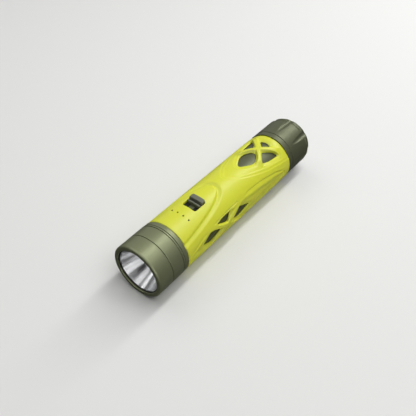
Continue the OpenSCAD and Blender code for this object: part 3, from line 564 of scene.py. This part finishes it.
def panel_drop(s, t):
    """Depth of the valley that runs along the edge of the switch panel."""
    inwards = depth_within(s, t, PANEL_EDGE)
    return VALLEY_DEPTH * (1 - smooth(np.where(inwards > 0, inwards / VALLEY_WALL, -inwards / VALLEY_SLOPE)))


def turn_to(t, middle_deg):
    """Distance along the surface from a group's middle, between half a turn before it and after it."""
    return (t - middle_deg * ARC + WHOLE / 2) % WHOLE - WHOLE / 2


def grip_drop(s, t):
    """How far the grip lies below its full radius at station s and t millimetres round from the switch."""
    drop = panel_drop(s, turn_to(t, 0))
    for group, middles in ((rear_drop, REAR_MIDDLES), (side_drop, SIDE_MIDDLES)):
        for middle in middles:
            drop = np.maximum(drop, group(s, turn_to(t, middle)))
    return drop


def resampled(line, count_of, endpoint):
    """Points at even distances along a line. count_of gives their number from the line's length."""
    run = np.concatenate([[0], np.cumsum(np.linalg.norm(np.diff(line, axis=0), axis=1))])
    at = np.linspace(0, run[-1], count_of(run[-1]), endpoint=endpoint)
    return np.stack([np.interp(at, run, line[:, k]) for k in (0, 1)], 1)


def corner_loop(corners, roundings, spacing):
    """A closed line round corners, each rounded by (1 - u)^2 a + 2 u (1 - u) corner + u^2 b, with even
    steps between the middles of two neighbouring roundings."""
    corners = np.asarray(corners, float)
    n = len(corners)
    curves = []
    for i in range(n):
        here, before, after = corners[i], corners[i - 1], corners[(i + 1) % n]
        a, b = before - here, after - here
        a *= min(roundings[i] / np.linalg.norm(a), CURVE_SHARE)
        b *= min(roundings[i] / np.linalg.norm(b), CURVE_SHARE)
        a, b = here + a, here + b
        u = np.linspace(0, 1, 2 * HALF_CURVE + 1)[:, None]
        curves.append((1 - u) ** 2 * a + 2 * u * (1 - u) * here + u ** 2 * b)
    stretches = []
    for i in range(n):
        way = np.concatenate([curves[i][HALF_CURVE:], curves[(i + 1) % n][:HALF_CURVE + 1]])
        stretches.append(resampled(way, lambda length: max(4, round(length / spacing)), endpoint=False))
    return np.concatenate(stretches)


def outward(loop):
    """Unit vectors square to a closed anticlockwise line, away from what it encloses."""
    along = np.roll(loop, -1, 0) - np.roll(loop, 1, 0)
    along /= np.linalg.norm(along, axis=1)[:, None]
    return np.stack([along[:, 1], -along[:, 0]], 1)


def anticlockwise(loop):
    """A closed line in the order that keeps what it encloses on its left."""
    turning = np.sum(loop[:, 0] * np.roll(loop[:, 1], -1) - loop[:, 1] * np.roll(loop[:, 0], -1))
    return loop if turning > 0 else loop[::-1]


def window_loop(corners, roundings):
    """A window's rounded outline, laid flat about its group's middle."""
    return anticlockwise(corner_loop(flat(corners), roundings, FINE))


def window_hole(outline, middle_deg, mirror, taper):
    """Rings of a window: (s, t, radius) from the lip's outer edge, round the lip and down the wall, which
    is undercut just above the tube."""
    outer = anticlockwise(outline * [1, mirror] + [0, middle_deg * ARC])
    middle = outer.mean(0)
    rings = []
    for phi in np.radians([0, 25, 50, 75]):
        ring = outer + outward(outer) * LIP * (1 - math.sin(phi))
        height = GRIP_R - grip_drop(ring[:, 0], ring[:, 1]) - LIP * (1 - math.cos(phi))
        rings.append(np.column_stack([ring, height]))
    low = middle + (outer - middle) * taper
    low_r = np.full(len(outer), GRIP_BORE_R)
    rings.append(np.column_stack([(rings[3][:, :2] + low) / 2, (rings[3][:, 2] + low_r + UNDERCUT) / 2]))
    rings.append(np.column_stack([low, low_r + UNDERCUT]))
    return rings + [np.column_stack([low + outward(outer) * UNDERCUT, low_r])]


# The windows of a group. The last one has a mirror image.
REAR_LOOPS = [window_loop(REAR_KITE, KITE_ROUND), window_loop(REAR_TIP, TIP_ROUND),
              window_loop(REAR_TRIANGLE, TRIANGLE_ROUND)]
SIDE_LOOPS = [window_loop(SIDE_FRONT, DIAMOND_ROUND), window_loop(SIDE_BACK, DIAMOND_ROUND),
              window_loop(SIDE_WING, WING_ROUND)]


def shaft_hole(outline, lip):
    """Rings of a hole whose walls stand upright: outline is in plan, (station, sideways distance)."""
    rings = []
    for phi in np.radians([0, 30, 60, 90]):
        ring = outline + outward(outline) * lip * (1 - math.sin(phi))
        t = np.degrees(np.arcsin(ring[:, 1] / GRIP_R)) * ARC
        height = GRIP_R - grip_drop(ring[:, 0], t) - lip * (1 - math.cos(phi))
        rings.append(np.column_stack([ring[:, 0], t, height]))
    low_t = np.degrees(np.arcsin(outline[:, 1] / GRIP_BORE_R)) * ARC
    return rings + [np.column_stack([outline[:, 0], low_t, np.full(len(low_t), GRIP_BORE_R)])]


def grip_holes():
    """Every window, the switch recess and the four light holes, each as its rings."""
    holes = []
    for loops, middles, taper in (
            (REAR_LOOPS, REAR_MIDDLES, REAR_TAPER), (SIDE_LOOPS, SIDE_MIDDLES, SIDE_TAPER)):
        for middle in middles:
            for loop, mirror in zip([*loops, loops[-1]], (1, 1, 1, -1)):
                holes.append(window_hole(loop, middle, mirror, taper))
    recess = corner_loop([RECESS_S, 0] + SQUARE * RECESS_HALF, [RECESS_ROUND] * 4, FINE)
    holes.append(shaft_hole(recess, RECESS_LIP))
    a = 2 * math.pi * np.arange(DOT_POINTS) / DOT_POINTS
    for step in (-1.5, -0.5, 0.5, 1.5):
        y = GRIP_R * math.sin(math.radians(DOT_DEG * step))
        holes.append(shaft_hole(np.stack([DOT_S + DOT_R * np.cos(a), y + DOT_R * np.sin(a)], 1), DOT_LIP))
    return holes


def inside(points, loop):
    """Which points lie inside a closed line, by counting how often a ray along s crosses it."""
    count = np.zeros(len(points), int)
    for a, b in zip(loop, np.roll(loop, -1, 0)):
        crosses = (a[1] > points[:, 1]) != (b[1] > points[:, 1])
        with np.errstate(divide="ignore", invalid="ignore"):
            at = a[0] + (points[:, 1] - a[1]) * (b[0] - a[0]) / (b[1] - a[1])
        count += crosses & (points[:, 0] < at)
    return count % 2 == 1


def sheet_triangles(points, loops, lines):
    """Delaunay triangles of points in the plane that keep the edges of the loops and lines, given as
    arrays of indices, and leave the insides of the loops open."""
    edges = [(int(a), int(b)) for loop in loops for a, b in zip(loop, np.roll(loop, -1))]
    edges += [(int(a), int(b)) for line in lines for a, b in zip(line[:-1], line[1:])]
    triangles, origins = delaunay_2d_cdt([Vector(p) for p in points.tolist()], edges, [], 0, 1e-7)[2:4]
    back = np.array([o[0] for o in origins])
    triangles = back[np.array(triangles)]
    middles = points[triangles].mean(1)
    keep = np.ones(len(triangles), bool)
    for loop in loops:
        low, high = points[loop].min(0), points[loop].max(0)
        near = np.all((middles > low) & (middles < high), 1) & keep
        keep[np.flatnonzero(near)[inside(middles[near], points[loop])]] = False
    return triangles[keep]


def spread(loops, lines, s_from, s_to, step, fine=None):
    """Points on a grid of equal triangles between two stations and one turn from the seam, clear of the
    loops and lines. fine says where the grid stays at its full density, and elsewhere every fourth
    point is left."""
    clear, stretch = 0.6 * step, 16
    row = step * math.sqrt(3) / 2
    i = np.arange(1, int((s_to - s_from) / row))[:, None]
    k = np.arange(1, int(WHOLE / step))[None, :]
    s = s_from + i * row + 0 * k
    t = SEAM_DEG * ARC + (k + 0.5 * (i % 2)) * step
    keep = (s < s_to - 0.5 * step) & (t < (SEAM_DEG + 360) * ARC - 0.5 * step)
    if fine:
        coarse = (i % 2 == 0) & ((k - i // 2) % 2 == 0)
        keep &= coarse | fine(s, t)
    points = np.stack([s[keep], t[keep]], 1)
    short = [line[at:at + stretch] for line in lines for at in range(0, len(line), stretch)]
    for number, line in enumerate(loops + short):
        low, high = line.min(0) - step, line.max(0) + step
        near = np.flatnonzero(np.all((points > low) & (points < high), 1))
        here = points[near]
        drop = np.sqrt(((here[:, None] - line[None]) ** 2).sum(2)).min(1) < clear
        if number < len(loops):
            drop |= inside(here, line)
        points = np.delete(points, near[drop], 0)
    return points


def offset_line(edge, inwards, middle_deg, until=GRIP_END):
    """A half edge and its mirror image, moved inwards by millimetres or by a function of the station, laid
    about a group's middle in even steps. What leaves the sheet, or lies beyond the station until, is cut
    off, so the result is a list of lines."""
    arm = edge if edge[0, 1] < edge[-1, 1] else edge[::-1]
    whole = np.concatenate([arm[::-1] * [1, -1], arm[1:]])
    along = np.gradient(whole, axis=0)
    along /= np.linalg.norm(along, axis=1)[:, None]
    square = np.stack([-along[:, 1], along[:, 0]], 1)
    nose = len(whole) // 2
    square *= np.sign(np.sum(square[nose] * ([whole[:, 0].mean(), 0.0] - whole[nose])))
    amount = inwards(whole[:, 0])[:, None] if callable(inwards) else inwards
    line = resampled(whole + square * amount, lambda length: int(length / FINE), endpoint=True)
    line += [0, middle_deg * ARC]
    seam_t = SEAM_DEG * ARC
    line[:, 1] = (line[:, 1] - seam_t) % WHOLE + seam_t
    end = min(until, GRIP_END - END_ROUND - END_CLEAR)
    clear = (line[:, 0] > GRIP_S + END_ROUND + END_CLEAR) & (line[:, 0] < end)
    clear &= (line[:, 1] > seam_t + SEAM_CLEAR) & (line[:, 1] < seam_t + WHOLE - SEAM_CLEAR)
    breaks = np.flatnonzero(np.diff(np.flatnonzero(clear)) > 1) + 1
    parts = []
    for run in np.split(line[clear], breaks):
        jumps = np.flatnonzero(np.abs(np.diff(run[:, 1])) > WHOLE / 2) + 1
        parts += [part for part in np.split(run, jumps) if len(part) > 3]
    return parts


def contour_lines():
    """The lines that the outer skin's triangles follow: the dishes' ledges, the crests and the valley."""
    lines = []
    for middle in REAR_MIDDLES:
        for start, width, _ in REAR_FALLS[:2]:
            lines += offset_line(REAR_EDGE, start, middle) + offset_line(REAR_EDGE, start + width, middle)
    for middle in SIDE_MIDDLES:
        lines += offset_line(SIDE_EDGE, 0.0, middle) + offset_line(SIDE_EDGE, SIDE_STEP_W, middle)
        lines += offset_line(SIDE_EDGE, crest_in, middle, until=CREST_END)
    return lines + offset_line(PANEL_EDGE, VALLEY_WALL, 0) + offset_line(PANEL_EDGE, 0.0, 0)


def busy(s, t):
    """Where the grip bends: the second differences of its height, one step away in a row and two rows
    away, spread to the neighbouring points."""
    h = grip_drop(s, t)
    bend = np.zeros(h.shape)
    bend[:, 1:-1] += np.abs(h[:, 2:] + h[:, :-2] - 2 * h[:, 1:-1])
    bend[2:-2] += np.abs(h[4:] + h[:-4] - 2 * h[2:-2])
    wide = bend.copy()
    for shift in (1, 2):
        for to, source in ((wide, bend), (wide.T, bend.T)):
            to[shift:] = np.maximum(to[shift:], source[:-shift])
            to[:-shift] = np.maximum(to[:-shift], source[shift:])
    return wide > BEND


def seat_loop(loop):
    """A loop moved by whole turns so that it lies in the turn that starts at the seam."""
    return loop - [0, WHOLE * math.floor((loop[:, 1].mean() / ARC - SEAM_DEG) / 360)]


def grip_sheet(loops, lines, s_from, s_to, step, end_count, fine=None):
    """One skin of the grip in the plane: its points, its triangles, the index ring at either end and one
    ring for each loop. The seam's two sides share their points."""
    seam_s = np.linspace(s_from, s_to, int((s_to - s_from) / (2 * step)) + 1)[1:-1]
    ends_t = SEAM_DEG * ARC + np.arange(end_count + 1) * 360 * ARC / end_count
    parts = [np.column_stack([np.full(end_count + 1, s), ends_t]) for s in (s_from, s_to)]
    parts += [np.column_stack([seam_s, np.full(len(seam_s), t)]) for t in (ends_t[0], ends_t[-1])]
    loops = [seat_loop(loop) for loop in loops]
    starts = np.cumsum([0] + [len(p) for p in parts + loops + lines])
    rings = [np.arange(a, a + len(line)) for a, line in zip(starts[4:], loops + lines)]
    points = np.concatenate(parts + loops + lines + [spread(loops, lines, s_from, s_to, step, fine)])
    triangles = sheet_triangles(points, rings[:len(loops)], rings[len(loops):])
    same = np.arange(len(points))
    same[end_count] = 0
    same[starts[1] + end_count] = starts[1]
    same[starts[3]:starts[4]] = np.arange(starts[2], starts[3])
    return points, same[triangles], np.arange(end_count), starts[1] + np.arange(end_count), rings


def make_grip():
    """The moulded grip: an outer skin at the grip's height, an inner skin on the tube, walls between
    the two round every hole, and a rounded edge at both ends."""
    holes = grip_holes()
    ends = round(WHOLE / END_STEP)
    flat_out, skin_out, front_out, rear_out, rings_out = grip_sheet(
        [h[0][:, :2] for h in holes], contour_lines(), GRIP_S + END_ROUND, GRIP_END - END_ROUND, FINE, ends,
        busy)
    flat_in, skin_in, front_in, rear_in, rings_in = grip_sheet(
        [h[-1][:, :2] for h in holes], [], GRIP_S + INNER_INSET, GRIP_END - INNER_INSET, COARSE, ends)
    out_r = GRIP_R - grip_drop(flat_out[:, 0], flat_out[:, 1])
    points = [polar(flat_out[:, 0], flat_out[:, 1] / GRIP_R, out_r),
              polar(flat_in[:, 0], flat_in[:, 1] / GRIP_R, GRIP_BORE_R)]
    faces = [skin_out, skin_in + len(flat_out)]
    count = len(flat_out) + len(flat_in)

    def bridge(first, middles, last):
        """Quads from one index ring over new rings of points to another index ring."""
        nonlocal count
        rows = [first]
        for ring in middles:
            points.append(ring)
            rows.append(count + np.arange(len(ring)))
            count += len(ring)
        rows.append(last)
        for a, b in zip(rows[:-1], rows[1:]):
            faces.append(np.stack([a, np.roll(a, -1), np.roll(b, -1), b], 1))

    for hole, ring_out, ring_in in zip(holes, rings_out, rings_in):
        middles = [polar(r[:, 0], r[:, 1] / GRIP_R, r[:, 2]) for r in hole[1:-1]]
        bridge(ring_out, middles, ring_in + len(flat_out))
    for ring_out, ring_in, at, sign in ((front_out, front_in, GRIP_S, 1), (rear_out, rear_in, GRIP_END, -1)):
        ring = flat_out[ring_out]
        angle, edge_r = ring[:, 1] / GRIP_R, GRIP_R - grip_drop(ring[:, 0], ring[:, 1])
        middles = []
        for phi in np.radians([22.5, 45, 67.5, 90]):
            s = at + sign * END_ROUND * (1 - math.sin(phi))
            middles.append(polar(s, angle, edge_r - END_ROUND * (1 - math.cos(phi))))
        middles.append(polar(at, angle, GRIP_BORE_R + END_FLAT))
        bridge(ring_out, middles, ring_in + len(flat_out))
    piece("grip_sleeve", np.concatenate(points), faces, LIME, "lime_moulded_grip", replaces=["grip_sleeve"],
          crease=50)


# Switch


# Side view of the thumb slider, as shares of its length and height
KNOB_SIDE = np.array([
    (0, 0.40), (0.03, 0.55), (0.08, 0.63), (0.17, 0.63), (0.22, 0.52), (0.25, 0.30), (0.36, 0.26), (0.40, 0.50),
    (0.43, 0.86), (0.48, 0.95), (0.60, 0.99), (0.74, 1.0), (0.9, 0.99), (1, 0.95)])
# Its height, the rounding of its corners and top edges, and how far its top falls at the sides
KNOB_HEIGHT, KNOB_CORNER, KNOB_RIM, KNOB_CROWN = 3.4, 1.3, 0.35, 0.25


def make_knob():
    """The thumb slider: a rounded block whose top follows the side view, with its edges rounded over, on plain
    upright sides."""
    low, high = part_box("thumb_slider")
    length, width = (high.x - low.x) / MM, (high.y - low.y) / MM
    floor_z = high.z / MM - KNOB_HEIGHT
    middle = np.array([(low.x + high.x) / 2 / MM, 0.0])
    rim = corner_loop(SQUARE * [length / 2, width / 2], [KNOB_CORNER] * 4, 0.2)
    rings = []
    for share in np.linspace(0.02, 1, 46):
        ring = rim * share
        edge = np.minimum(length / 2 - np.abs(ring[:, 0]), width / 2 - np.abs(ring[:, 1]))
        edge = np.minimum(edge, np.linalg.norm(rim, axis=1) * (1 - share))
        over = np.clip(1 - edge / KNOB_RIM, 0, 1)
        top = np.interp(ring[:, 0] / length + 0.5, KNOB_SIDE[:, 0], KNOB_SIDE[:, 1]) * KNOB_HEIGHT
        crown = KNOB_CROWN * (ring[:, 1] / (width / 2)) ** 2
        z = floor_z + top - crown - KNOB_RIM * (1 - np.sqrt(1 - over ** 2))
        rings.append(np.column_stack([ring + middle, z]))
    for down in (0.5, 0.0):
        rings.append(np.column_stack([rim + middle, floor_z + down * (rings[-1][:, 2] - floor_z)]))
    rings.append(np.column_stack([rim * 0.9 + middle, np.full(len(rim), floor_z)]))
    n = len(rim)
    points = np.concatenate(rings + [[[*middle, rings[0][:, 2].mean()], [*middle, floor_z]]]) * MM
    around = np.arange(n)
    last = (len(rings) - 1) * n
    caps = [np.stack([ring, np.roll(ring, -1), np.full(n, tip)], 1)
            for ring, tip in ((around, last + n), (last + around, last + n + 1))]
    piece("thumb_slider", points, [grid(len(rings), n), *caps], OLIVE_NYLON, "olive_nylon", body="slider",
          replaces=["thumb_slider"], crease=60)


# Tail cap


# The flutes: where they start, their depth at the cap's end, their cutter's radius and their number
FLUTE_S, FLUTE_DEPTH, FLUTE_R, FLUTES = CAP_S + 7.4, 1.5, 2.6, 8
# How far under the cap's outside the flutes still cut its outline
CAP_SKIN = 3


def flute_cut(s, angle, r):
    """Depth of the flutes: a round cutter whose axis sinks evenly along the cap. At the angle phi from a
    flute's middle the cut reaches down to c cos phi - sqrt(R^2 - (c sin phi)^2), c the axis's radius."""
    depth = FLUTE_DEPTH * (s - FLUTE_S) / (CAP_END - FLUTE_S)
    centre = CAP_R + FLUTE_R - depth
    half = math.pi / FLUTES
    phi = (angle + half) % (2 * half) - half
    under = FLUTE_R ** 2 - (centre * np.sin(phi)) ** 2
    cut_r = centre * np.cos(phi) - np.sqrt(np.clip(under, 0, None))
    return np.where((under > 0) & (s > FLUTE_S) & (r > CAP_R - CAP_SKIN), np.clip(r - cut_r, 0, None), 0)


def make_cap():
    """The outline of the tail cap: front edge, two turned grooves, rounded rim, and a plain bore over the
    tube's thread.
    """
    thread_r, seal_r, seal_end = REAR_R + 0.07, REAR_R + 0.6, SEAL_S + SEAL_D + 0.6
    board_s, board_end, board_r = span("tail_contact_board")
    seat_r, pocket_r, pocket_end = board_r + 0.3, 9.2, CAP_END - 4.2
    groove_a, groove_b, floor_a, floor_b = CAP_S + 3.9, CAP_END - 4.1, CAP_R - 0.4, CAP_R - 0.5
    edge, foot = 0.08, 0.06
    barrel = np.arange(groove_a + 0.6, groove_b - 0.5, 0.35)
    front = filleted([
        (CAP_S, seal_r, 0.1), (CAP_S, CAP_R, 0.3), (groove_a - 0.35, CAP_R, edge),
        (groove_a - 0.2, floor_a, foot), (groove_a + 0.2, floor_a, foot), (groove_a + 0.35, CAP_R, edge),
        (groove_a + 0.5, CAP_R, 0)])
    back = filleted([
        (groove_b - 0.5, CAP_R, 0), (groove_b - 0.4, CAP_R, edge), (groove_b - 0.2, floor_b, foot),
        (groove_b + 0.2, floor_b, foot), (groove_b + 0.6, CAP_R, 0.1), (CAP_END - 1.7, CAP_R - 0.3, 0.8),
        (CAP_END, CAP_R - 1.2, 0.35), (CAP_END, 0, 0), (pocket_end, 0, 0), (pocket_end, pocket_r, 0.2),
        (board_end, pocket_r, 0.1), (board_end, seat_r, 0.1), (board_s, seat_r, 0.1),
        (board_s, thread_r, DEBURR), (seal_end, thread_r, DEBURR), (seal_end, seal_r, DEBURR)], steps=4)
    line = np.concatenate([front[:-1], np.stack([barrel, np.full(len(barrel), CAP_R)], 1), back])
    turned("tail_cap", line, DARK_OLIVE, "dark_anodised", turns=512, cut=flute_cut, body="tail_cap", crease=35)


# Room


# Strength of the soft dome at the horizon and overhead, the share of it left before the lens, and the
# directions between which it fades to that share
HORIZON, ZENITH, FRONT, FRONT_FADE = 0.10, 0.62, 0.05, (-0.45, -0.2)
# Half the side of the floor, in metres
FLOOR_HALF = 3.0
# Lights: name, where each stands, where it points, its size and its power. The cards show only as streaks
# in polished parts, mostly in the reflector.
MIDDLE, MOUTH = (0.0, 0.0, 0.0), (-0.075, 0.0, 0.017)
LIGHTS = [
    ("strip", (0.42, -0.03, 0.62), MIDDLE, (1.2, 0.11), 4.2),
    ("key", (0.0, 0.62, 0.80), MIDDLE, (0.7, 0.5), 1.2),
    ("rear_fill", (0.5, 0.8, 0.2), MIDDLE, (0.9, 0.3), 0.5),
    ("front_fill", (0.05, -0.45, 0.85), MIDDLE, (0.7, 0.5), 2.8),
    ("left_card", (-0.495, 0.054, 0.574), MOUTH, (0.7, 0.33), 2.1),
    ("far_left_card", (-0.495, 0.389, 0.420), MOUTH, (0.7, 0.14), 1.3),
    ("right_card", (-0.495, -0.501, 0.267), MOUTH, (0.7, 0.26), 1.9),
    ("far_right_card", (-0.495, -0.558, 0.070), MOUTH, (0.7, 0.10), 1.0)]


def make_room():
    """A pale floor, the camera at the photograph's angle, and soft lights round the object."""
    scene = bpy.context.scene
    scene.view_settings.view_transform = "Standard"
    camera = bpy.data.objects.new("camera", bpy.data.cameras.new("camera"))
    right, up, back = (0.61376, -0.78860, 0.03750), (0.53795, 0.45250, 0.71123), (-0.57785, -0.41635, 0.70196)
    camera.matrix_world = Matrix((right, up, back)).transposed().to_4x4()
    camera.location = (-0.2104, -0.1414, 0.2568)
    camera.data.lens = 49.86
    camera.data.sensor_width = 36
    camera.data.clip_start = 0.005
    scene.collection.objects.link(camera)
    scene.camera = camera

    floor_mesh = bpy.data.meshes.new("floor")
    corners = [(FLOOR_HALF * x, FLOOR_HALF * y, 0) for x, y in SQUARE.tolist()]
    floor_mesh.from_pydata(corners, [], [(0, 1, 2, 3)])
    floor = bpy.data.objects.new("floor", floor_mesh)
    # White paper, uncoated: flat and without a highlight.
    floor.data.materials.append(finish_of("white_paper_floor", "#DADAD8", 0.8, grain_um=0.0))
    # The floor lights the object from below but isn't mirrored in it.
    floor.visible_glossy = floor.visible_transmission = False
    scene.collection.objects.link(floor)

    world = bpy.data.worlds.new("studio")
    world.use_nodes = True
    sky = world.node_tree
    way = add(sky, "ShaderNodeSeparateXYZ", Vector=add(sky, "ShaderNodeTexCoord").outputs["Generated"])
    dome = add(sky, "ShaderNodeMapRange", Value=way.outputs["Z"], i1=0.0, i2=1.0, i3=HORIZON, i4=ZENITH)
    front = add(sky, "ShaderNodeMapRange", Value=way.outputs["X"], i1=FRONT_FADE[0], i2=FRONT_FADE[1], i3=FRONT,
                i4=1.0)
    both = add(sky, "ShaderNodeMath", {"operation": "MULTIPLY"}, i0=dome.outputs[0], i1=front.outputs[0])
    sky.links.new(both.outputs[0], sky.nodes["Background"].inputs["Strength"])
    sky.nodes["Background"].inputs["Color"].default_value = linear("#FFFFFF")
    scene.world = world

    for name, at, to, size, power in LIGHTS:
        lamp = bpy.data.lights.new(name, "AREA")
        lamp.shape, (lamp.size, lamp.size_y), lamp.energy = "RECTANGLE", size, power
        light = bpy.data.objects.new(name, lamp)
        aim = (Vector(to) - Vector(at)).normalized()
        side = (Vector((1, 0, 0)) - Vector((1, 0, 0)).dot(aim) * aim).normalized()
        light.matrix_world = Matrix((side, aim.cross(side) * -1, -aim)).transposed().to_4x4()
        light.location = at
        light.visible_diffuse = "card" not in name
        scene.collection.objects.link(light)


def dress_cad():
    """Gives every CAD node that stays its material, by the finish that its piece has."""
    worn = {
        WHITE_NYLON: ["led_centering_ring", "slide_switch_lever", "cell_insulator", "indicator_leds"],
        PHOSPHOR: ["led_emitter"], CORE_BOARD: ["led_board"], COPPER: ["heat_sink"],
        RED_WIRE: ["led_leads", "switch_leads"], BLACK_RUBBER: ["head_seal", "tail_seal"],
        GREEN_BOARD: ["driver_board", "switch_board", "front_contact_board", "tail_contact_board"],
        BLACK_NYLON: ["switch_frame", "slider_shutter"], STEEL: ["slide_switch_body", "board_screws"],
        # The light guide's near-black acrylic is partly painted shade in the light holes.
        SHADE_DARKENED_ACRYLIC: ["light_guide"], SPRING: ["front_contact_spring", "tail_spring"], CELL_WRAP: ["battery_cell"],
        BARE_EDGE: ["tail_retaining_ring"]}
    for material, names in worn.items():
        for name in names:
            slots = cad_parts[name].data.materials
            slots.clear()
            slots.append(material)


make_room()
make_bezel()
make_head_body()
make_lens()
make_gasket()
make_reflector()
make_tube()
make_grip()
make_knob()
make_cap()
dress_cad()
